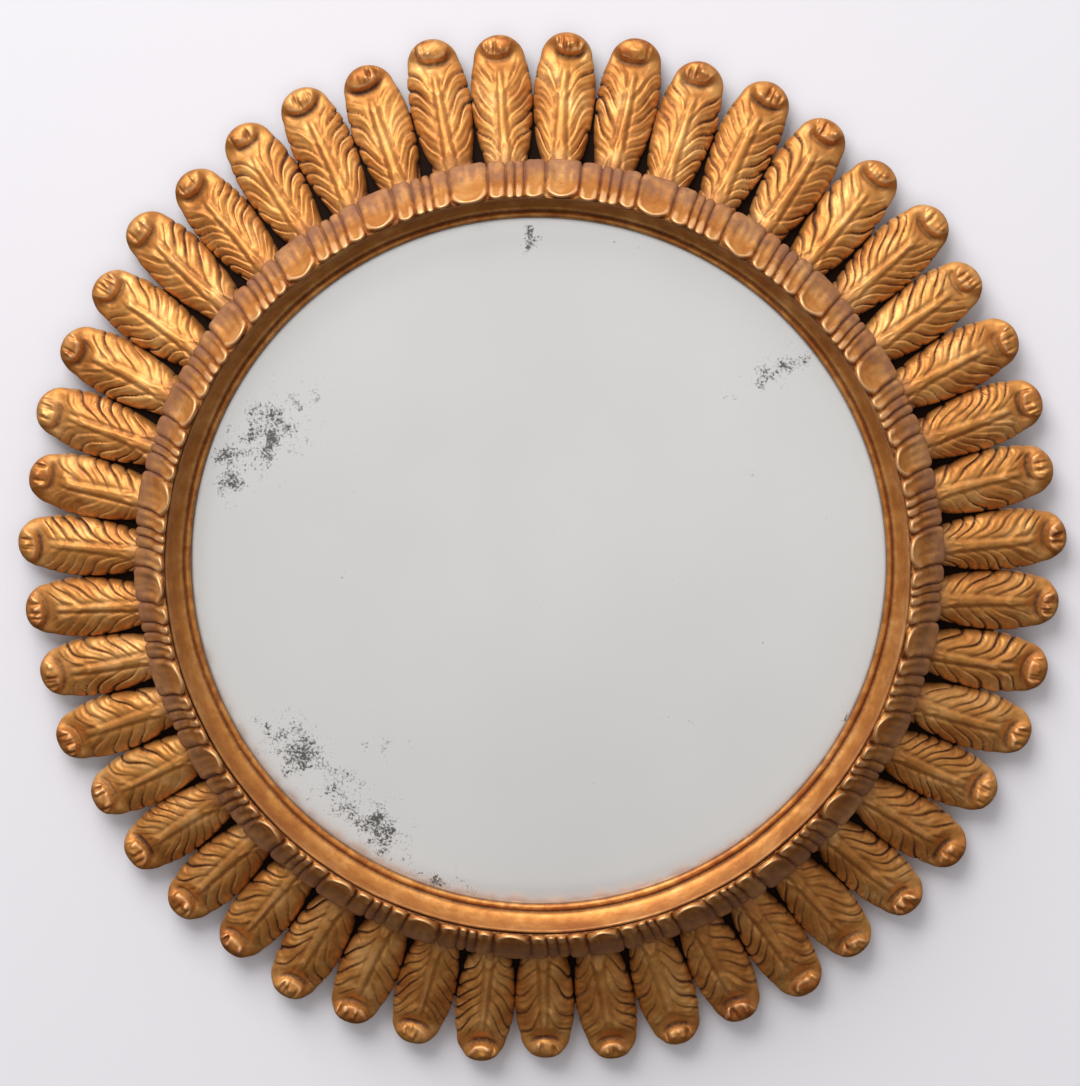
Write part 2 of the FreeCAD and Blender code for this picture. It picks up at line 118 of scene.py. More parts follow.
def blur(field, reach):
    """The field's running mean over reach samples to each side, along both of its axes."""
    for axis in (0, 1):
        pads = [(0, 0), (0, 0)]
        pads[axis] = (reach, reach)
        padded = np.cumsum(np.pad(field, pads, mode="edge"), axis=axis)
        zero = np.zeros_like(np.take(padded, [0], axis=axis))
        padded = np.concatenate([zero, padded], axis=axis)
        count = field.shape[axis]
        width = 2 * reach + 1
        high = np.take(padded, np.arange(width, width + count), axis=axis)
        low = np.take(padded, np.arange(count), axis=axis)
        field = (high - low) / width
    return field


def stand(radius, angle, depth):
    """Points of the upright disc from a radius, an angle clockwise from the top, both
    as seen from the front, and a depth off the wall, in millimetres and radians."""
    return np.stack(
        [
            radius * MM * np.sin(angle),
            -depth * MM * np.ones_like(angle),
            radius * MM * np.cos(angle) + DISC.z,
        ],
        axis=-1,
    )


def skin(name, points, wrap_rows, poles=(), **fields):
    """A mesh from a grid of points whose columns close on themselves. Its rows close
    too, or each end is closed by a fan round a pole. The faces are turned outwards by
    the sign of the volume, which is the sum of the corners' triple products. Fields are
    stored per point."""
    rows, columns = points.shape[:2]
    index = np.arange(rows * columns).reshape(rows, columns)
    low = index if wrap_rows else index[:-1]
    high = np.roll(index, -1, axis=0) if wrap_rows else index[1:]
    around = [low, np.roll(low, -1, 1), np.roll(high, -1, 1), high]
    quads = np.stack(around, axis=-1).reshape(-1, 4)
    corners = points.reshape(-1, 3)
    fans = []
    for row, pole, turn in zip((0, -1), poles, (1, -1)):
        apex = len(corners)
        corners = np.vstack([corners, pole])
        ring = index[row]
        fan = np.stack([np.full(columns, apex), np.roll(ring, -1), ring], axis=-1)
        fans.append(fan[:, ::turn])
    triangles = np.vstack([quads[:, [0, 1, 2]], quads[:, [0, 2, 3]], *fans])
    a, b, c = (corners[triangles[:, k]] for k in range(3))
    outward = np.einsum("ij,ij->i", a, np.cross(b, c)).sum() > 0
    faces = [quads, *fans]
    if not outward:
        faces = [f[:, ::-1] for f in faces]
    mesh = bpy.data.meshes.new(name)
    mesh.vertices.add(len(corners))
    mesh.vertices.foreach_set("co", corners.astype(np.float32).ravel())
    sizes = np.concatenate([np.full(len(f), f.shape[1]) for f in faces])
    flat = np.concatenate([f.ravel() for f in faces])
    mesh.loops.add(len(flat))
    mesh.loops.foreach_set("vertex_index", flat.astype(np.int32))
    mesh.polygons.add(len(sizes))
    starts = np.concatenate([[0], np.cumsum(sizes)[:-1]])
    mesh.polygons.foreach_set("loop_start", starts.astype(np.int32))
    mesh.update(calc_edges=True)
    mesh.validate()
    for field, values in fields.items():
        at_poles = [values[0, 0], values[-1, 0]][: len(poles)]
        store = mesh.attributes.new(field, "FLOAT", "POINT")
        store.data.foreach_set(
            "value", np.concatenate([values.ravel(), at_poles]).astype(np.float32)
        )
    mesh.shade_smooth()
    made = bpy.data.objects.new(name, mesh)
    bpy.context.scene.collection.objects.link(made)
    return made


def dress(piece, material, stands_for):
    """Give a piece of the frame its material and slot, hang it under the frame's body, and
    hide the CAD node that it stands for."""
    piece.data.materials.append(material)
    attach(piece, "frame")
    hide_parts(stands_for)


def new_material(name):
    """An empty node material and its tree."""
    material = bpy.data.materials.new(name)
    material.use_nodes = True
    material.node_tree.nodes.clear()
    return material, material.node_tree


def blend(tree, share, below, above):
    """The colour below, with a plain colour over it by a share."""
    links = {0: share, 6: below}
    return add(tree, "Mix", {7: tuple(above)}, links, data_type="RGBA").outputs[2]


def object_place(tree, centre=(0, 0, 0)):
    """Object coordinates moved so that the given point is the middle of the pattern."""
    place = add(tree, "TexCoord").outputs["Object"]
    return add(
        tree,
        "Mapping",
        {"Location": tuple(-c for c in centre)},
        {"Vector": place},
    ).outputs["Vector"]


def gilding(sizes):
    """Water gilding on carved wood: leaf of gold over red-brown clay on gesso, burnished on
    the high places, dark in the hollows, partly from a real dark toning and partly as
    painted shade, bright on the ridges, partly from real rubbing and partly as painted
    highlight, and worn to the clay in places. It reads as warm metal with brown in every
    cut, partly real toning and partly painted shade."""
    found = bpy.data.materials.get("toned_water_gilding")
    if found:
        return found
    material, tree = new_material("toned_water_gilding")
    place = object_place(tree, DISC)
    relief = add(tree, "Attribute", attribute_name="relief").outputs["Fac"]
    tone = add(tree, "Attribute", attribute_name="tone").outputs["Fac"]
    warm = add(tree, "Attribute", attribute_name="warm").outputs["Fac"]
    # clouds of toning about 30 mm across
    clouds = add(
        tree,
        "TexNoise",
        {"Scale": 1 / (30 * MM), "Detail": 4.0, "Roughness": 0.6},
        {"Vector": place},
    ).outputs["Fac"]
    # brush marks and gesso grain about 3 mm across
    grain = add(
        tree,
        "TexNoise",
        {"Scale": 1 / (3 * MM), "Detail": 5.0, "Roughness": 0.65},
        {"Vector": place},
    ).outputs["Fac"]
    # dents and nibs about 9 mm across
    dents = add(
        tree,
        "TexNoise",
        {"Scale": 1 / (9 * MM), "Detail": 3.0, "Roughness": 0.55},
        {"Vector": place},
    ).outputs["Fac"]
    spread = add(
        tree, "Math", {1: 0.34, 2: -0.17}, {0: grain}, operation="MULTIPLY_ADD"
    ).outputs[0]
    broken = add(tree, "Math", {}, {0: relief, 1: spread}, operation="ADD").outputs[0]
    body = add(
        tree,
        "ValToRGB",
        {},
        {"Fac": clouds},
        stops=[
            (0.32, sizes.gold_deep),
            (0.50, sizes.gold),
            (0.68, sizes.gold_pale),
        ],
    ).outputs["Color"]
    # dark in the hollows: partly real toning, partly painted shade
    glaze_and_shade = add(
        tree,
        "ValToRGB",
        {},
        {"Fac": broken},
        stops=[(0.10, grey(1.0)), (0.30, grey(0.42)), (0.46, grey(0.0))],
    ).outputs["Color"]
    patchy = add(
        tree, "MapRange", {"From Min": 0.36, "From Max": 0.62}, {"Value": dents}
    ).outputs["Result"]
    worn = add(tree, "Math", {}, {0: warm, 1: patchy}, operation="MULTIPLY").outputs[0]
    copper = blend(tree, worn, body, sizes.gold_worn)
    toned = blend(tree, glaze_and_shade, copper, sizes.glaze_and_shade)
    # bright on the ridges: partly real rubbing, partly painted highlight
    rubbed_and_highlight = add(
        tree,
        "ValToRGB",
        {},
        {"Fac": broken},
        stops=[(0.70, grey(0.0)), (0.92, grey(0.75))],
    ).outputs["Color"]
    bright = blend(tree, rubbed_and_highlight, toned, sizes.gold_rubbed_and_highlight)
    cover = add(
        tree,
        "MapRange",
        {"From Min": 0.35, "From Max": 0.6, "To Min": 0.6},
        {"Value": dents},
    ).outputs["Result"]
    dusty = add(tree, "Math", {}, {0: tone, 1: cover}, operation="MULTIPLY").outputs[0]
    colour = blend(tree, dusty, bright, sizes.clay)
    bare = add(tree, "Math", {}, {0: glaze_and_shade, 1: dusty}, operation="MAXIMUM").outputs[0]
    metal = add(
        tree, "MapRange", {"To Min": 0.62, "To Max": 0.2}, {"Value": bare}
    ).outputs["Result"]
    rough_base = add(
        tree, "MapRange", {"To Min": 0.40, "To Max": 0.62}, {"Value": bare}
    ).outputs["Result"]
    rough = add(
        tree, "Math", {1: 0.16}, {0: grain, 2: rough_base}, operation="MULTIPLY_ADD"
    ).outputs[0]
    fine = add(
        tree, "Bump", {"Strength": 0.35, "Distance": 0.5 * MM}, {"Height": grain}
    ).outputs["Normal"]
    normal = add(
        tree,
        "Bump",
        {"Strength": 0.45, "Distance": 1.2 * MM},
        {"Height": dents, "Normal": fine},
    ).outputs["Normal"]
    shader = add(
        tree,
        "BsdfPrincipled",
        {},
        {
            "Base Color": colour,
            "Metallic": metal,
            "Roughness": rough,
            "Normal": normal,
        },
    ).outputs[0]
    add(tree, "OutputMaterial", {}, {"Surface": shader})
    return material


def silvered_glass(sizes):
    """Old mirror glass, silvered behind: a soft grey reflection, with black foxing where
    the silver has gone, in specks of 0.5 to 3 mm that crowd in patches near the edge."""
    material, tree = new_material("silvered_glass_with_foxing")
    place = object_place(tree, DISC)
    patches = add(tree, "Attribute", attribute_name="foxing").outputs["Fac"]
    rim = add(tree, "Attribute", attribute_name="rim").outputs["Fac"]
    specks = add(
        tree,
        "TexNoise",
        {"Scale": 1 / (1.9 * MM), "Detail": 3.0, "Roughness": 0.7},
        {"Vector": place},
    ).outputs["Fac"]
    crowd = add(
        tree,
        "TexNoise",
        {"Scale": 1 / (11 * MM), "Detail": 3.0, "Roughness": 0.6},
        {"Vector": place},
    ).outputs["Fac"]
    both = add(
        tree, "Math", {1: 0.9}, {0: crowd, 2: specks}, operation="MULTIPLY_ADD"
    ).outputs[0]
    pushed = add(
        tree, "Math", {1: 0.42}, {0: patches, 2: both}, operation="MULTIPLY_ADD"
    ).outputs[0]
    spots = add(
        tree,
        "MapRange",
        {"From Min": 1.26, "From Max": 1.42, "To Max": 0.92},
        {"Value": pushed},
    ).outputs["Result"]
    # the foxing, and a dark ring at the glass's edge that is painted shade beside the
    # moulding
    dark = add(tree, "Math", {}, {0: spots, 1: rim}, operation="MAXIMUM").outputs[0]
    cloud = add(
        tree, "TexNoise", {"Scale": 1 / (160 * MM), "Detail": 2.0}, {"Vector": place}
    ).outputs["Fac"]
    silver = add(
        tree,
        "ValToRGB",
        {},
        {"Fac": cloud},
        stops=[(0.3, sizes.silver_shade), (0.7, sizes.silver)],
    ).outputs["Color"]
    colour = blend(tree, dark, silver, sizes.foxed_and_edge_shade)
    edge = add(tree, "Attribute", attribute_name="edge").outputs["Fac"]
    dull = add(tree, "Math", {}, {0: dark, 1: edge}, operation="MAXIMUM").outputs[0]
    rough = add(
        tree, "MapRange", {"To Min": 0.12, "To Max": 0.45}, {"Value": dull}
    ).outputs["Result"]
    metal = add(
        tree, "MapRange", {"To Min": 0.8, "To Max": 0.2}, {"Value": dark}
    ).outputs["Result"]
    shader = add(
        tree,
        "BsdfPrincipled",
        {},
        {"Base Color": colour, "Metallic": metal, "Roughness": rough},
    ).outputs[0]
    add(tree, "OutputMaterial", {}, {"Surface": shader})
    return material


def segment_wood(name, light, dark, segments, grain_mm, stain, front=None):
    """Wood of a ring glued from straight segments. The grain runs along each segment:
    the place is turned about the disc's middle by the segment's own angle, and bands of
    early and late wood are noise stretched along the grain. A dark line marks each
    glued joint. A front colour, near-black, covers all but the face against the
    wall."""
    found = bpy.data.materials.get(name)
    if found:
        return found
    material, tree = new_material(name)
    place = object_place(tree, DISC)
    parts = add(tree, "SeparateXYZ", {}, {0: place}).outputs
    angle = add(
        tree, "Math", {}, {0: parts[0], 1: parts[2]}, operation="ARCTAN2"
    ).outputs[0]
    step = FULL_TURN / segments
    count = add(tree, "Math", {1: step}, {0: angle}, operation="DIVIDE").outputs[0]
    whole = add(tree, "Math", {}, {0: count}, operation="ROUND").outputs[0]
    back = add(tree, "Math", {1: -step}, {0: whole}, operation="MULTIPLY").outputs[0]
    turned = add(
        tree, "VectorRotate", {}, {"Vector": place, "Angle": back}, rotation_type="Y_AXIS"
    ).outputs[0]
    shifted = add(tree, "CombineXYZ", {}, {0: whole, 1: whole}).outputs[0]
    apart = add(tree, "VectorMath", {}, {0: turned, 1: shifted}, operation="ADD").outputs[0]
    along = add(
        tree, "Mapping", {"Scale": (0.06, 1.0, 1.0)}, {"Vector": apart}
    ).outputs[0]
    rings = add(
        tree,
        "TexNoise",
        {"Scale": 1 / (grain_mm * MM), "Detail": 5.0, "Roughness": 0.6, "Distortion": 0.4},
        {"Vector": along},
    ).outputs["Fac"]
    pores = add(
        tree,
        "TexNoise",
        {"Scale": 1 / (1.2 * MM), "Detail": 3.0, "Roughness": 0.7},
        {"Vector": along},
    ).outputs["Fac"]
    wood = add(
        tree,
        "ValToRGB",
        {},
        {"Fac": rings},
        stops=[(0.34, dark), (0.52, light), (0.66, dark)],
    ).outputs["Color"]
    if front:
        ahead = add(
            tree,
            "MapRange",
            {"From Min": -1.5 * MM, "From Max": -4 * MM},
            {"Value": parts[1]},
        ).outputs["Result"]
        wood = blend(tree, ahead, wood, front)
    near = add(tree, "Math", {}, {0: count, 1: whole}, operation="SUBTRACT").outputs[0]
    off = add(tree, "Math", {}, {0: near}, operation="ABSOLUTE").outputs[0]
    joint = add(
        tree,
        "MapRange",
        {"From Min": 0.497, "From Max": 0.4995, "To Max": float(segments > 1)},
        {"Value": off},
    ).outputs["Result"]
    blotch = add(
        tree, "TexNoise", {"Scale": 1 / (45 * MM), "Detail": 4.0}, {"Vector": place}
    ).outputs["Fac"]
    dirty = add(
        tree,
        "MapRange",
        {"From Min": 0.4, "From Max": 0.8, "To Max": stain},
        {"Value": blotch},
    ).outputs["Result"]
    mark = add(tree, "Math", {}, {0: dirty, 1: joint}, operation="MAXIMUM").outputs[0]
    colour = blend(tree, mark, wood, tuple(c * 0.3 for c in dark[:3]) + (1.0,))
    rough = add(
        tree, "MapRange", {"To Min": 0.62, "To Max": 0.86}, {"Value": pores}
    ).outputs["Result"]
    both = add(tree, "Math", {}, {0: rings, 1: pores}, operation="ADD").outputs[0]
    normal = add(
        tree, "Bump", {"Strength": 0.4, "Distance": 0.5 * MM}, {"Height": both}
    ).outputs["Normal"]
    shader = add(
        tree,
        "BsdfPrincipled",
        {"Specular IOR Level": 0.08},
        {"Base Color": colour, "Roughness": rough, "Normal": normal},
    ).outputs[0]
    add(tree, "OutputMaterial", {}, {"Surface": shader})
    return material


def worn_metal(name, colour, tarnish, roughness):
    """Sheet metal of small fittings: brushed, with dull tarnish in clouds about 6 mm across
    and fine scratches that change its gloss."""
    found = bpy.data.materials.get(name)
    if found:
        return found
    material, tree = new_material(name)
    place = object_place(tree)
    clouds = add(
        tree,
        "TexNoise",
        {"Scale": 1 / (6 * MM), "Detail": 5.0, "Roughness": 0.65},
        {"Vector": place},
    ).outputs["Fac"]
    drawn = add(tree, "Mapping", {"Scale": (1.0, 1.0, 0.05)}, {"Vector": place}).outputs[0]
    scratches = add(
        tree, "TexNoise", {"Scale": 1 / (0.6 * MM), "Detail": 3.0}, {"Vector": drawn}
    ).outputs["Fac"]
    shade = add(
        tree, "ValToRGB", {}, {"Fac": clouds}, stops=[(0.35, tarnish), (0.6, colour)]
    ).outputs["Color"]
    gloss = add(
        tree,
        "MapRange",
        {"To Min": roughness - 0.1, "To Max": roughness + 0.22},
        {"Value": scratches},
    ).outputs["Result"]
    normal = add(
        tree, "Bump", {"Strength": 0.2, "Distance": 0.1 * MM}, {"Height": scratches}
    ).outputs["Normal"]
    shader = add(
        tree,
        "BsdfPrincipled",
        {"Metallic": 1.0},
        {"Base Color": shade, "Roughness": gloss, "Normal": normal},
    ).outputs[0]
    add(tree, "OutputMaterial", {}, {"Surface": shader})
    return material


class MirrorSizes(bpy.types.PropertyGroup):
    """Sizes of the carving that a user would change, in metres, and the finishes."""

    barb_pitch: FloatProperty(
        name="Barb pitch",
        description="Distance between the cuts along a leaf's midrib",
        default=11.0 * MM,
        unit="LENGTH",
    )
    barb_relief: FloatProperty(
        name="Barb relief",
        description="Height of a barb over the cut beside it",
        default=2.2 * MM,
        unit="LENGTH",
    )
    leaf_rows: IntProperty(
        name="Leaf rows",
        description="Grid rows along a leaf",
        default=104,
        min=40,
    )
    leaf_columns: IntProperty(
        name="Leaf columns",
        description="Grid columns across a leaf's face",
        default=66,
        min=24,
    )
    gold: FloatVectorProperty(
        name="Gold",
        description="Burnished leaf",
        subtype="COLOR",
        size=4,
        default=linear("#CF8D46"),
    )
    gold_pale: FloatVectorProperty(
        name="Pale gold",
        description="Bright clouds in the leaf",
        subtype="COLOR",
        size=4,
        default=linear("#E4AA66"),
    )
    gold_deep: FloatVectorProperty(
        name="Deep gold",
        description="Toned clouds in the leaf",
        subtype="COLOR",
        size=4,
        default=linear("#B87436"),
    )
    # burnished ridges, partly real rubbing and partly painted highlight
    gold_rubbed_and_highlight: FloatVectorProperty(
        name="Rubbed gold",
        description="Burnished ridges",
        subtype="COLOR",
        size=4,
        default=linear("#F2BE88"),
    )
    gold_worn: FloatVectorProperty(
        name="Worn gold",
        description="Red clay that shows through",
        subtype="COLOR",
        size=4,
        default=linear("#9A5522"),
    )
    # dark toning in the hollows, partly real and partly painted shade
    glaze_and_shade: FloatVectorProperty(
        name="Glaze",
        description="Dark toning in the hollows",
        subtype="COLOR",
        size=4,
        default=linear("#4E2308"),
    )
    clay: FloatVectorProperty(
        name="Clay",
        description="Red-brown clay and dust on the band",
        subtype="COLOR",
        size=4,
        default=linear("#80533C"),
    )
    silver: FloatVectorProperty(
        name="Silver",
        description="The glass's reflection",
        subtype="COLOR",
        size=4,
        default=linear("#F1EFED"),
    )
    silver_shade: FloatVectorProperty(
        name="Silver shade",
        description="Dull clouds of the silvering",
        subtype="COLOR",
        size=4,
        default=linear("#EBE9E7"),
    )
    # foxing where the silver has gone, and painted shade at the glass's edge
    foxed_and_edge_shade: FloatVectorProperty(
        name="Foxing",
        description="Where the silver has gone",
        subtype="COLOR",
        size=4,
        default=linear("#3A3936"),
    )
    wall: FloatVectorProperty(
        name="Wall",
        description="Paint of the wall",
        subtype="COLOR",
        size=4,
        default=linear("#E8E5EA"),
    )


def sizes_of(context):
    """The add-on's own settings."""
    return context.scene.mirror_sizes


class MIRROR_OT_leaves(bpy.types.Operator):
    """Carve the 47 leaves, each with its own cuts, midrib and rolled tip"""

    bl_idname = "mirror.leaves"
    bl_label = "Leaves"

    def execute(self, context):
        sizes = sizes_of(context)
        gold = gilding(sizes)
        for number in range(LEAVES):
            name = f"leaf_{number + 1:02d}"
            points, poles, fields = carved_leaf(number, sizes)
            piece = skin(f"carved_{name}", points, False, poles, **fields)
            dress(piece, gold, name)
        return {"FINISHED"}


def leaf_stations(sizes, foot_end):
    """Along a leaf: the places of the grid's rows, the half width and the height of the
    underside. Past the crease the plan is a quarter of a fuller ellipse, whose rows crowd
    towards the tip."""
    straight = sizes.leaf_rows * 3 // 4
    rounded = sizes.leaf_rows - straight
    turn = np.linspace(0, math.pi / 2 * 0.985, rounded + 1)[1:]
    tip = LEAF_CREASE + (LEAF_LENGTH - LEAF_CREASE) * np.sin(turn)
    u = np.concatenate([np.linspace(foot_end, LEAF_CREASE, straight), tip])
    half = np.interp(
        u,
        [0, 8, 18, 30, 44, 55, 66, 76, 84],
        [15.6, 16.8, 19.4, 21.5, 23.0, 23.6, 23.0, 21.6, 19.4],
    )
    half[straight:] = 19.4 * np.cos(turn) ** 0.94
    kernel = np.ones(5) / 5
    half[2:-8] = np.convolve(half, kernel, mode="same")[2:-8]
    lift = np.interp(u, [0, 81, 87, 95.5, LEAF_LENGTH], [0, 0, 1.4, 3.6, 5.0])
    return u, half, lift


def seat_leaf(number, slide, along, over, high):
    """Points of a leaf's own frame, set on the sloped seat at the leaf's angle, a
    little turned and slid, by the CAD's rule."""
    twist = math.radians(0.35 * math.sin(3.7 * number + 1))
    angle = math.radians(FIRST_LEAF) + FULL_TURN * number / LEAVES
    turned = slide + along * math.cos(twist) - over * math.sin(twist)
    sideways = along * math.sin(twist) + over * math.cos(twist)
    fall, rise = math.sin(LEAF_SLOPE), math.cos(LEAF_SLOPE)
    radial = LEAF_FOOT + turned * rise + high * fall
    depth = LEAF_SEAT - turned * fall + high * rise
    return np.stack(
        [
            (radial * math.sin(angle) - sideways * math.cos(angle)) * MM,
            -depth * MM,
            (radial * math.cos(angle) + sideways * math.sin(angle)) * MM + DISC.z,
        ],
        axis=-1,
    )


def carve_barbs(rng, sizes, u, q, half):
    """The barbs on a leaf's two sides, between cuts that leave the midrib towards the tip.
    Each rises slowly from one cut and drops into the next, like a shingle, and the stronger
    cuts notch the edge. Returns the place across, the notched share of the width, the side
    and the distance from the midrib, the height that the barbs add and the cuts' shade."""
    bend = rng.uniform(-1.4, 1.4) * np.sin(u * math.pi / 86 + rng.uniform(-0.4, 0.4))
    pitch = sizes.barb_pitch / MM * rng.uniform(0.85, 1.5)
    high = sizes.barb_relief / MM * rng.uniform(0.8, 1.2)
    lean = rng.uniform(1.6, 2.4)
    offsets = rng.uniform(0, 1, 2)
    strengths = rng.uniform(0.15, 1.0, (2, 24)) ** 2.2 * 1.7
    v = q * half
    across = v - bend
    side = (across > 0).astype(int)
    x = np.abs(across)
    sway = 3.6 * np.sin(u / rng.uniform(9, 15) + rng.uniform(0, 6) + 2.1 * side)
    sway += 1.9 * np.sin(x / 3.5 + rng.uniform(0, 6) + u / 17)

    def barb_at(x_at):
        """Where a point lies in its barb, from 0 at one cut to 1 at the next, and how
        strongly that barb is cut."""
        phase = (u - lean * x_at * (1 - 0.014 * x_at) + sway) / pitch + offsets[side]
        count = np.floor(phase)
        return phase - count, strengths[side, count.astype(int) % strengths.shape[1]]

    f, strength = barb_at(x)
    edge_f, edge_strength = barb_at(half)
    body_zone = 1 - smooth_step(u, 74, 84)
    notch = np.exp(-((np.minimum(edge_f, 1 - edge_f) / 0.15) ** 2)) * edge_strength
    scallop = 1 - 0.055 * notch * body_zone * smooth_step(np.abs(q), 0.3, 0.95)
    far = smooth_step(x, 3.0, 16.0)
    shingle = f**0.8 * (1 - smooth_step(f, 0.80, 1.0))
    cut = np.exp(-((np.minimum(f, 1 - f) / 0.10) ** 2))
    cuts = (shingle - 0.5) * 0.9 - 0.8 * cut * strength
    cuts = high * (0.25 + 0.75 * far) * cuts
    cuts += 0.36 * np.cos(f * FULL_TURN * 2 + 0.2 * u) * far * (1 - cut)
    cuts *= body_zone * smooth_step(u, -6, 6) * smooth_step(x, 0.5, 4.5)
    shade = np.minimum(cut * strength, 1) * far * body_zone
    return v * scallop, scallop, side, x, cuts, shade


def carve_midrib(rng, u, x, side):
    """The height of a leaf's midrib: a cord between two shallow grooves, forked at both
    ends, that fades out before the tip."""
    wide = np.interp(u, [0, 40, 78], [3.6, 2.6, 1.8]) * rng.uniform(0.8, 1.25)
    cord = 1.3 * np.exp(-((x / wide) ** 4))
    grooves = -0.9 * bump_at(x, wide + 1.6, 1.5) * rng.uniform(0.3, 1.3, 2)[side]
    fork_at = rng.uniform(46, 62)
    fork = 1.2 * bump_at(x, (u - fork_at) * rng.uniform(0.34, 0.55), 2.0)
    fork *= smooth_step(u, fork_at, fork_at + 8)
    foot_at = rng.uniform(14, 24)
    foot = 0.9 * bump_at(x, (foot_at - u) * rng.uniform(0.3, 0.5), 1.8)
    foot *= 1 - smooth_step(u, foot_at - 6, foot_at)
    return (cord + grooves + fork + foot) * (1 - smooth_step(u, 66, 78))


def roll_tip(rng, u, v, q, lift, face):
    """The face with its tip rolled forward over a short crescent, which is sharp in the
    middle and soft towards the edges. The roll is half an ellipse long and round
    across, with flutes and small bosses. Returns the face, the distance past the
    crescent and how near the middle a point lies."""
    aside = v - rng.uniform(-3.5, 3.5)
    crease = 82.8 + rng.uniform(-1.5, 1.5) + rng.uniform(0.022, 0.036) * aside**2
    past = u - crease
    middle = 1 - smooth_step(np.abs(aside), 7.0, rng.uniform(12, 18))
    dip = rng.uniform(0.8, 2.4)
    face -= dip * bump_at(past, -0.8, 2.4) * middle
    face -= 1.3 * bump_at(past, -4.0, 6.0) * (0.4 + 0.6 * middle)
    long_way = np.clip((u - 88.6) / 13.3, -1, 1)
    roll = rng.uniform(9.6, 12.8) * np.sqrt(1 - long_way**2)
    roll *= (1 - np.clip(np.abs(q), 0, 1) ** 2.8) ** 0.5 * 0.88 + 0.12
    for place in rng.uniform(-0.62, 0.62, rng.integers(3, 6)):
        flute = bump_at(v, place * 18, 1.2) * bump_at(u, rng.uniform(88, 93), 4.4)
        roll -= rng.uniform(0.8, 2.2) * flute
    for _ in range(rng.integers(2, 4)):
        along, over = rng.uniform(87, 93), rng.uniform(-8, 8)
        roll += 1.2 * bump_at(u, along, 2.2) * bump_at(v, over, 2.2)
    reach = 2.8 + 8.5 * (1 - middle)
    rise = smooth_step(past / reach, -0.15, 1.0)
    return face * (1 - rise) + (lift + roll) * rise, past, middle


def carved_leaf(number, sizes):
    """One leaf as a closed section moved along its midrib. Along the leaf the half
    width and the edge's height run through fixed stations; across it the face is a
    crown that falls steeply at the edges, with barbs, a midrib and a rolled tip. The
    barbs' cuts leave the midrib at about 27 degrees. Every number with a spread is
    drawn from the leaf's own seed."""
    rng = np.random.default_rng(4700 + number)
    slide = 3.0 * math.sin(2.4 * number)
    # the root reaches in under the band, however far out the leaf sits
    foot_end = -3.8 - slide
    places, half, lift = leaf_stations(sizes, foot_end)
    # the columns crowd towards the edges
    spread = np.linspace(-1, 1, sizes.leaf_columns)
    shares = 0.45 * spread + 0.55 * np.sin(spread * math.pi / 2)
    u, q = np.meshgrid(places, shares, indexing="ij")
    half, lift = half[:, None], lift[:, None]
    v, scallop, side, x, cuts, shade = carve_barbs(rng, sizes, u, q, half * np.ones_like(q))

    edge = np.interp(u, [0, 30, 57, 79, 88], [8.4, 7.4, 5.6, 5.0, 5.2])
    crown = np.interp(u, [0, 30, 57, 72, 82], [6.0, 6.6, 7.2, 6.2, 3.6])
    face = edge + crown * (1 - np.abs(q) ** 2.0)
    face += cuts + carve_midrib(rng, u, x, side)
    top, past, middle = roll_tip(rng, u, v, q, lift, face)
    along_wave, across_wave, _ = rng.uniform(0, 6, 3)
    top += 0.45 * np.sin(u / 6.3 + along_wave) * np.sin(v / 5.1 + across_wave)

    # relief sets toning and bright gold: hollows and strong cuts darken, partly real toning
    # and partly painted shade; ridges brighten, partly real rubbing and partly painted
    # highlight; the edges are a little darker
    relief = 0.5 + np.clip((top - blur(top, 4)) / 4.2, -0.2, 0.34)
    relief -= 0.24 * shade
    # painted shadow in the crescent under the rolled tip
    relief -= rng.uniform(0.0, 0.26) * bump_at(past, -0.6, 1.5) * middle
    body_zone = 1 - smooth_step(u, 74, 84)
    relief -= 0.12 * (1 - smooth_step(1 - np.abs(q), 0.0, 0.14)) * body_zone
    warm = rng.uniform(0.2, 1.0) * smooth_step(past, 0.0, 3.0) * (0.5 + 0.5 * middle)
    warm += rng.uniform(0.0, 0.3)
    warm += rng.uniform(0.0, 0.5) * bump_at(u, rng.uniform(30, 60), 16) * bump_at(x, 14, 7)

    # the edges fall to the underside, which closes the section
    shell = (1 - np.clip(np.abs(q), 0, 1) ** 12) ** 0.5
    top = lift + np.maximum(top - lift, 1.0) * shell
    under_q = np.linspace(1, -1, 9)[1:-1]
    under_v = half * scallop[:, -1:] * under_q[None, :]
    under_w = lift * np.ones_like(under_v)
    v_all = np.concatenate([v, under_v], axis=1)
    w_all = np.concatenate([top, under_w], axis=1)
    u_all = places[:, None] * np.ones_like(v_all)
    relief = np.concatenate([relief, 0.2 * np.ones_like(under_v)], axis=1)
    warm = np.concatenate([warm, 0.6 * np.ones_like(under_v)], axis=1)

    points = seat_leaf(number, slide, u_all, v_all, w_all)
    root = seat_leaf(number, slide, np.array(foot_end), np.array(0.0), np.array(6.0))
    tip_high = np.array(lift[-1, 0] + 1.2)
    tip = seat_leaf(number, slide, np.array(LEAF_LENGTH), np.array(0.0), tip_high)
    tone = 0.35 * (1 - smooth_step(u_all, 0, 12))
    return points, (root, tip), {"relief": relief, "tone": tone, "warm": warm}


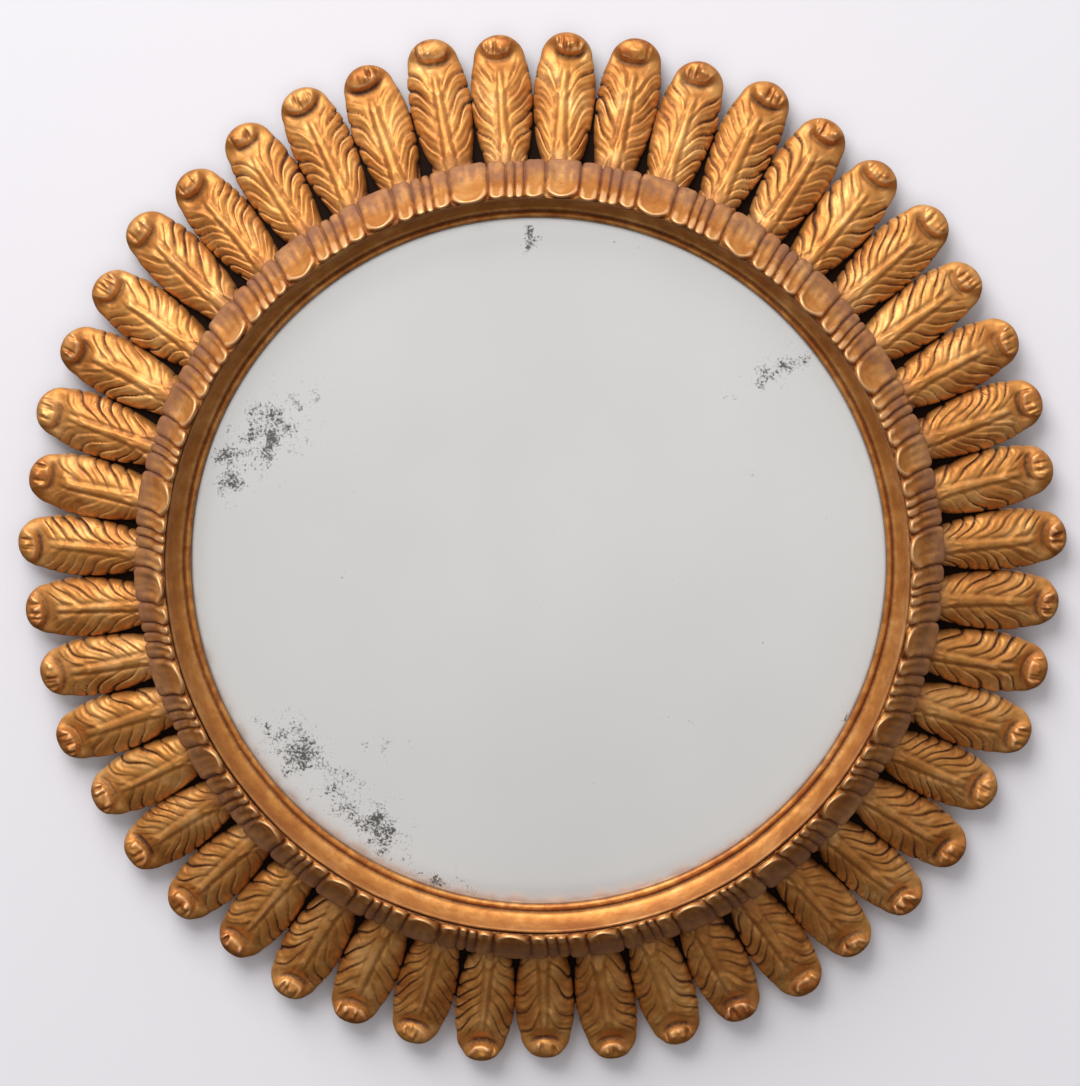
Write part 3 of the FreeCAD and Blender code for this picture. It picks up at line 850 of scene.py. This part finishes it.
def gadroon_steps():
    """The grid steps round the band, closer together beside the grooves. For each step: the
    angle, its place across its lobe from -1 to 1, the lobe's half width in millimetres, its
    scale and its number. One repeat holds a wide, a medium, two narrow and another medium
    lobe."""
    shares = (0.39, 0.20, 0.105, 0.105, 0.20)
    scales = (1.0, 0.72, 0.4, 0.4, 0.72)
    counts = (20, 12, 9, 9, 12)
    repeat = FULL_TURN / GADROON_REPEATS
    start = -shares[0] / 2
    parts = []
    for lobe, (share, scale, count) in enumerate(zip(shares, scales, counts)):
        t = np.arange(count) / count * 2 - 1
        across = 0.4 * t + 0.6 * np.sin(t * math.pi / 2)
        place = start + share * (across + 1) / 2
        ones = np.ones(count)
        half = share * repeat * GADROON_RADIUS / 2
        parts.append([place, across, ones * half, ones * scale, ones * lobe])
        start += share
    place, across, half, scale, lobe = np.concatenate(parts, axis=1)
    number = np.repeat(np.arange(GADROON_REPEATS), len(place))
    place, across, half, scale, lobe = (
        np.tile(values, GADROON_REPEATS) for values in (place, across, half, scale, lobe)
    )
    angle = math.radians(FIRST_GADROON) + repeat * (place + number)
    # no two lobes have quite the same width
    angle += 0.0025 * np.sin(37 * angle) + 0.0012 * np.sin(83 * angle + 1)
    return angle, across, half, scale, number * len(shares) + lobe.astype(int)


def through(line, steps):
    """The closed line through its points, with so many steps to each: on every stretch a
    cubic whose slope at a point is half the way between the point's neighbours."""
    knots = len(line)
    at = np.arange(knots * steps) / steps
    before = np.floor(at).astype(int)
    t = (at - before)[:, None]
    a, b, c, d = (line[(before + k) % knots] for k in (-1, 0, 1, 2))
    bend = 2 * a - 5 * b + 4 * c - d + t * (3 * (b - c) + d - a)
    return b + 0.5 * t * (c - a + t * bend)


def carved_band():
    """The band as a closed section that runs round the ring. At every step it lies between
    a groove's and a wide lobe's, by how far in from the lobe's U-shaped plan each of its
    points lies. The lobes are scooped, and the lips under them end as tongues."""
    angle, across, half, scale, number = gadroon_steps()
    rng = np.random.default_rng(26)
    vary, low = rng.uniform(-1, 1, (2, number.max() + 1))[:, number]
    # sections along a groove and along a wide lobe's middle, as (radius, depth)
    groove = np.array(
        [
            (303.4, SEAT), (298.6, 60.0), (294.2, 64.2), (290.8, 68.6), (288.6, 73.4),
            (286.6, 78.0), (284.7, 81.8), (283.0, 84.2), (281.8, 84.8), (281.3, 84.0),
            (281.4, 82.6), (282.2, 79.0), (283.2, 70.0), (284.4, SEAT), (296.0, SEAT),
        ]
    )
    lobe = np.array(
        [
            (307.8, SEAT), (302.6, 60.2), (298.0, 64.9), (294.4, 70.0), (291.8, 75.6),
            (289.6, 81.6), (287.2, 86.8), (284.8, 90.6), (282.2, 92.8), (280.2, 92.0),
            (280.2, 89.2), (281.6, 83.0), (283.2, 70.0), (284.4, SEAT), (296.0, SEAT),
        ]
    )
    steps = 4
    places = np.arange(len(groove) * steps) / steps * np.ones((len(angle), 1))
    across, half, scale, vary, low = (
        values[:, None] for values in (across, half, scale, vary, low)
    )
    phase = number[:, None]
    # a lobe's plan is a long U: how far in from its line a point lies
    to_end = [44, 38, 31, 28, 21.8, 15.4, 9.7, 5.2, 2.1, 0.3]
    length = np.interp(places, np.arange(len(to_end)), to_end)
    sideways = across * half
    from_end = np.clip(half * (1 + 0.12 * low) - length, 0, None)
    inward = np.clip(half - np.hypot(sideways, from_end), 0, None)
    # its flank is a quarter of an ellipse
    steep = np.minimum(4.6, 0.8 * half)
    flank = np.sqrt(1 - (1 - np.clip(inward / steep, 0, 1)) ** 2)
    under = smooth_step(places, 8.4, 9.6)
    tongue = np.sqrt(1 - np.clip(np.abs(across), 0, 1) ** 2)
    tongue = tongue * (1 - smooth_step(places, 12, 13))
    swell = flank * (0.55 + 0.45 * scale) * (1 - under) + 0.5 * tongue * scale * under
    groove_line, lobe_line = through(groove, steps)[None], through(lobe, steps)[None]
    section = groove_line + (lobe_line - groove_line) * swell[..., None]
    # the scoop: a trough inside the U, deepest under the round end
    scoop = smooth_step(inward, 2.2, 8.5) * (0.4 + 0.6 * scale) * (1 + 0.3 * low)
    scoop = scoop * smooth_step(places, 0.0, 3.0) * (1 - under)
    section[..., 0] -= 1.5 * scoop
    section[..., 1] -= 2.0 * scoop
    wave = 0.22 * np.sin(angle * 61 + 1.3) + 0.2 * np.sin(angle * 97)
    section[..., 0] += wave[:, None] * bump_at(places, 7.5, 3.0)
    section[..., 1] += 0.6 * low * bump_at(places, 7.5, 2.4) * flank
    streak = np.sin(sideways * 1.1 + phase * 1.7) * bump_at(places, 3.0, 2.6) * flank
    section[..., 0] += 0.4 * streak
    section[..., 1] = np.minimum(section[..., 1], GADROON_CREST)
    points = stand(section[..., 0], angle[:, None] + 0 * places, section[..., 1])
    # relief darkens the grooves between the lobes, partly real toning and partly painted
    # shade, and brightens the lobes' rims and their faces short of the lips as painted
    # highlight
    cut = np.exp(-((inward / 1.5) ** 2)) * (1 - under)
    relief = 0.50 - 0.24 * cut - 0.05 * scoop + 0.06 * streak
    ridge = bump_at(inward, 2.6, 1.7) * (1 - under)
    relief += 0.32 * ridge * smooth_step(places, 3.0, 6.0) + 0.12 * ridge
    relief += 0.18 * bump_at(places, 6.4, 1.8) * flank * (1 + 0.4 * low)
    ripple = np.sin(sideways * 0.8 + phase) * np.sin(places * 1.9 + vary * 3)
    relief += 0.05 * ripple
    # painted shade under the lips
    relief -= 0.34 * smooth_step(places, 9.2, 10.6)
    bound = 2.4 + 0.6 * vary + 0.8 * low * across + 0.5 * np.abs(across)
    bound += 0.6 * np.sin(sideways * 0.9 + phase * 2.1)
    tone = 0.85 * (1.0 - smooth_step(places, bound - 1.5, bound + 1.5))
    tone = np.maximum(tone, 0.5 * smooth_step(places, 9.6, 10.8))
    warm = np.exp(-((inward / 2.4) ** 2))
    return points, {"relief": relief, "tone": tone, "warm": warm}


class MIRROR_OT_band(bpy.types.Operator):
    """Carve the band of scooped gadroons, whose ends roll over the crest as tongues"""

    bl_idname = "mirror.band"
    bl_label = "Gadroon band"

    def execute(self, context):
        sizes = sizes_of(context)
        points, fields = carved_band()
        piece = skin("carved_gadroon_band", points, True, **fields)
        dress(piece, gilding(sizes), "gadroon_band")
        return {"FINISHED"}


class MIRROR_OT_moulding(bpy.types.Operator):
    """Turn the sight moulding: a bead by the glass, a groove and a broad cove"""

    bl_idname = "mirror.moulding"
    bl_label = "Sight moulding"

    def execute(self, context):
        sizes = sizes_of(context)
        bead = np.linspace(-0.35 * math.pi, 1.08 * math.pi, 14)
        cove = np.linspace(0, math.pi / 2, 16)
        radius = np.concatenate(
            [
                [264.0],
                266.2 - 2.2 * np.cos(bead),
                [268.9],
                269.6 + 9.7 * np.sin(cove),
                [280.0, 281.0, 281.5, 281.5],
            ]
        )
        depth = np.concatenate(
            [
                [SEAT],
                58.3 + 2.2 * np.sin(bead),
                [58.2],
                58.7 + 20.1 * (1 - np.cos(cove)),
                [79.0, 79.0, 78.4, SEAT],
            ]
        )
        angle = np.linspace(0, FULL_TURN, 540, endpoint=False)[:, None]
        uneven = 0.18 * np.sin(angle * 7 + 0.6) + 0.12 * np.sin(angle * 23)
        points = stand(
            radius[None] + uneven * (radius > 265),
            angle,
            depth[None] + 0.8 * uneven * (depth > 57),
        )
        ones = np.ones_like(points[..., 0])
        # the groove's place in the section: past the first corner and the bead
        groove = 1 + len(bead)
        relief = np.full(len(radius), 0.55)
        # the groove is darker, partly real toning and partly painted shade
        relief[groove - 1 : groove + 4] = (0.3, 0.16, 0.2, 0.34, 0.46)
        relief[4 : groove - 4] = 0.6
        tone = np.zeros(len(radius))
        dusty = groove + 7
        tone[dusty:] = np.linspace(0.1, 0.5, len(radius) - dusty)
        warm = np.full(len(radius), 0.35)
        warm[:groove] = 0.8
        fields = {"relief": relief * ones, "tone": tone * ones, "warm": warm * ones}
        piece = skin("turned_sight_moulding", points, True, **fields)
        dress(piece, gilding(sizes), "sight_moulding")
        return {"FINISHED"}


def foxing_at(x, z):
    """How likely the silver is to have gone at each point of the glass, in millimetres
    across and up from its middle: the strongest of a few turned oval bells."""
    foxing = np.zeros_like(x)
    # middle across and up, half sizes, turn in degrees, strength
    patches = (
        (-205, 98, 46, 26, 40, 1.0),
        (-232, 76, 20, 30, 10, 0.9),
        (-170, 128, 22, 12, 30, 0.6),
        (-188, -142, 40, 26, -38, 1.0),
        (-150, -176, 34, 22, -42, 0.85),
        (-120, -206, 30, 22, -50, 1.0),
        (-78, -246, 40, 10, -16, 0.85),
        (-130, -140, 16, 10, 0, 0.5),
        (183, 152, 40, 12, 28, 0.75),
        (142, 133, 8, 6, 20, 0.6),
        (-5, 248, 8, 14, 0, 1.15),
        (64, 244, 26, 4, -12, 0.5),
        (236, -118, 5, 9, 0, 0.9),
    )
    for across, up, wide, tall, turn, strength in patches:
        c, s = math.cos(math.radians(turn)), math.sin(math.radians(turn))
        dx, dz = x - across, z - up
        along, over = dx * c + dz * s, dz * c - dx * s
        foxing = np.maximum(
            foxing, strength * np.exp(-((along / wide) ** 2) - (over / tall) ** 2)
        )
    return foxing


class MIRROR_OT_glass(bpy.types.Operator):
    """Bend and silver the domed glass"""

    bl_idname = "mirror.glass"
    bl_label = "Convex glass"

    def execute(self, context):
        sizes = sizes_of(context)
        middle = GLASS_CREST - GLASS_CURVE
        inner_curve = GLASS_CURVE - GLASS_THICK
        out = np.concatenate([np.linspace(3, 258, 86), np.linspace(261, 269.5, 6), [270.0]])
        front = middle + np.sqrt(GLASS_CURVE**2 - out**2)
        back = middle + np.sqrt(inner_curve**2 - out[::-1] ** 2)
        radius = np.concatenate([out, out[::-1]])
        depth = np.concatenate([front, back])
        angle = np.linspace(0, FULL_TURN, 360, endpoint=False)
        points = stand(radius[:, None], angle[None], depth[:, None])
        x = radius[:, None] * np.sin(angle)[None]
        z = radius[:, None] * np.cos(angle)[None]
        foxing = foxing_at(x, z)
        # a dark ring at the glass's edge is painted shade beside the moulding; the back is
        # dark all over
        rim = smooth_step(radius, 262.3, 263.6)[:, None] * np.ones_like(x)
        rim[len(out):] = 1.0
        # the silvering is duller where the moulding rubs
        edge = 0.3 * smooth_step(radius, 246.0, 258.0)[:, None] * np.ones_like(x)
        curves = (GLASS_CURVE, inner_curve)
        poles = [(0, -(middle + curve) * MM, DISC.z) for curve in curves]
        fields = {"foxing": foxing, "rim": rim, "edge": edge}
        piece = skin("domed_glass", points, False, poles, **fields)
        dress(piece, silvered_glass(sizes), "convex_glass")
        return {"FINISHED"}


class MIRROR_OT_back(bpy.types.Operator):
    """Finish the wooden rings, the backboard and the fittings of the back"""

    bl_idname = "mirror.back"
    bl_label = "Back and fittings"

    def execute(self, context):
        stained = segment_wood(
            "walnut_stained_pine_segments",
            linear("#5C3D26"),
            linear("#3B2415"),
            segments=8,
            grain_mm=5.0,
            stain=0.6,
            front=linear("#1A0C06"),
        )
        plain = segment_wood(
            "glued_pine_segments",
            linear("#7A5230"),
            linear("#4A2E17"),
            segments=8,
            grain_mm=4.0,
            stain=0.6,
        )
        board = segment_wood(
            "aged_thin_board",
            linear("#A07A4C"),
            linear("#7D5A34"),
            segments=1,
            grain_mm=7.0,
            stain=0.5,
        )
        steel = worn_metal("dull_zinced_steel", linear("#A9A8A2"), linear("#6E6A60"), 0.42)
        brass = worn_metal("tarnished_brass", linear("#B5924C"), linear("#6B5227"), 0.38)
        finishes = {
            "back_ring": stained,
            "core_ring": plain,
            "glazing_blocks": plain,
            "backboard": board,
            "keyhole_plate": steel,
            "pivot_screws": steel,
        }
        finishes.update({f"turn_button_{n}": brass for n in range(1, 5)})
        for node, material in finishes.items():
            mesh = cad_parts[node].data
            mesh.materials.clear()
            mesh.materials.append(material)
        return {"FINISHED"}


def wall_paint(sizes):
    """Matt paint with a fine roller grain of about 4 mm. It shows only from the room's
    side, so that the mirror's back can be seen through the wall."""
    paint, tree = new_material("matt_wall_paint")
    grain = add(
        tree,
        "TexNoise",
        {"Scale": 1 / (4 * MM), "Detail": 3.0},
        {"Vector": object_place(tree)},
    ).outputs["Fac"]
    normal = add(
        tree, "Bump", {"Strength": 0.08, "Distance": 0.3 * MM}, {"Height": grain}
    ).outputs["Normal"]
    matt = add(
        tree,
        "BsdfPrincipled",
        {"Base Color": tuple(sizes.wall), "Roughness": 0.9, "Specular IOR Level": 0.1},
        {"Normal": normal},
    ).outputs[0]
    clear = add(tree, "BsdfTransparent").outputs[0]
    behind = add(tree, "NewGeometry").outputs["Backfacing"]
    seen = add(tree, "MixShader", {}, {0: behind, 1: matt, 2: clear}).outputs[0]
    add(tree, "OutputMaterial", {}, {"Surface": seen})
    return paint


def room_light():
    """The light of a dim room: darker towards the floor, and with a bright window ahead of
    the mirror, which the glass shows."""
    world = bpy.data.worlds.new("studio")
    world.use_nodes = True
    sky = world.node_tree
    sky.nodes.clear()
    direction = add(sky, "TexCoord").outputs["Generated"]
    across, along, up = add(sky, "SeparateXYZ", {}, {0: direction}).outputs
    share = add(
        sky, "MapRange", {"From Min": -1.0, "From Max": 1.0}, {"Value": up}
    ).outputs["Result"]
    room = add(
        sky,
        "ValToRGB",
        {},
        {"Fac": share},
        stops=[
            (0.0, grey(0.05)),
            (0.30, grey(0.10)),
            (0.62, grey(0.45)),
            (0.80, grey(0.85)),
            (1.0, grey(0.9)),
        ],
    ).outputs["Color"]
    # the window
    aside = add(sky, "Math", {}, {0: across}, operation="ABSOLUTE").outputs[0]
    wide = add(
        sky, "MapRange", {"From Min": 0.62, "From Max": 0.50}, {"Value": aside}
    ).outputs["Result"]
    tall = add(
        sky, "MapRange", {"From Min": -0.66, "From Max": -0.56}, {"Value": up}
    ).outputs["Result"]
    ahead = add(
        sky, "MapRange", {"From Min": 0.0, "From Max": -0.2}, {"Value": along}
    ).outputs["Result"]
    window = add(sky, "Math", {}, {0: wide, 1: tall}, operation="MULTIPLY").outputs[0]
    mask = add(sky, "Math", {}, {0: window, 1: ahead}, operation="MULTIPLY").outputs[0]
    lit = add(
        sky, "MapRange", {"To Min": 0.60, "To Max": 0.78}, {"Value": share}
    ).outputs["Result"]
    front = add(sky, "Math", {}, {0: mask, 1: lit}, operation="MULTIPLY").outputs[0]
    glow = add(sky, "Math", {}, {0: room, 1: front}, operation="MAXIMUM").outputs[0]
    light = add(sky, "Background", {"Strength": 1.0}, {"Color": glow}).outputs[0]
    add(sky, "OutputWorld", {}, {"Surface": light})
    return world


class MIRROR_OT_stage(bpy.types.Operator):
    """Set up the wall, the floor, the light and the camera"""

    bl_idname = "mirror.stage"
    bl_label = "Stage"

    def execute(self, context):
        scene = context.scene
        sizes = sizes_of(context)
        scene.view_settings.view_transform = "Standard"
        paint = wall_paint(sizes)

        def sheet(name, corners):
            """One flat stage sheet, facing the way its corners turn."""
            mesh = bpy.data.meshes.new(name)
            mesh.from_pydata(corners, [], [(0, 1, 2, 3)])
            mesh.materials.append(paint)
            made = bpy.data.objects.new(name, mesh)
            scene.collection.objects.link(made)
            made.visible_shadow = False
            made.visible_diffuse = False
            made.visible_glossy = False

        half_wide, wall_at, near, low, high = 4, 0.002, -6, -1.55, 3.5
        foot = [(-half_wide, wall_at, low), (half_wide, wall_at, low)]
        sheet("wall", [*foot, (half_wide, wall_at, high), (-half_wide, wall_at, high)])
        sheet("floor", [(-half_wide, near, low), (half_wide, near, low), *reversed(foot)])

        scene.world = room_light()
        data = bpy.data.lights.new("key_lamp", "AREA")
        data.size = 3.2
        data.energy = 232
        lamp = bpy.data.objects.new("key_lamp", data)
        lamp.location = (-1.4, -3.0, 3.4)
        aim = Vector((0, -0.03, -0.33))
        lamp.rotation_euler = (aim - lamp.location).to_track_quat("-Z", "Y").to_euler()
        scene.collection.objects.link(lamp)

        middle = Vector((0, -0.010, -0.3175))
        rise, swing, away = math.radians(9.0), math.radians(2.0), 3.3
        back = Vector(
            (
                math.sin(swing) * math.cos(rise),
                -math.cos(swing) * math.cos(rise),
                math.sin(rise),
            )
        )
        camera = bpy.data.objects.new("camera", bpy.data.cameras.new("camera"))
        scene.collection.objects.link(camera)
        camera.data.lens = 142.3
        camera.location = middle + back * away
        camera.rotation_euler = (-back).to_track_quat("-Z", "Y").to_euler()
        scene.camera = camera
        return {"FINISHED"}


class MIRROR_PT_panel(bpy.types.Panel):
    """The mirror's pieces, in the sidebar"""

    bl_label = "Giltwood convex mirror"
    bl_idname = "MIRROR_PT_panel"
    bl_space_type = "VIEW_3D"
    bl_region_type = "UI"
    bl_category = "Mirror"

    def draw(self, context):
        for step in STEPS:
            self.layout.operator(step.bl_idname)
        for name in MirrorSizes.__annotations__:
            self.layout.prop(sizes_of(context), name)


STEPS = (
    MIRROR_OT_leaves,
    MIRROR_OT_band,
    MIRROR_OT_moulding,
    MIRROR_OT_glass,
    MIRROR_OT_back,
    MIRROR_OT_stage,
)


def register():
    for kind in (MirrorSizes, *STEPS, MIRROR_PT_panel):
        bpy.utils.register_class(kind)
    bpy.types.Scene.mirror_sizes = PointerProperty(type=MirrorSizes)


def unregister():
    del bpy.types.Scene.mirror_sizes
    for kind in (MIRROR_PT_panel, *reversed(STEPS), MirrorSizes):
        bpy.utils.unregister_class(kind)


def main():
    register()
    for step in STEPS:
        group, name = step.bl_idname.split(".")
        getattr(getattr(bpy.ops, group), name)()


if __name__ == "__main__":
    main()
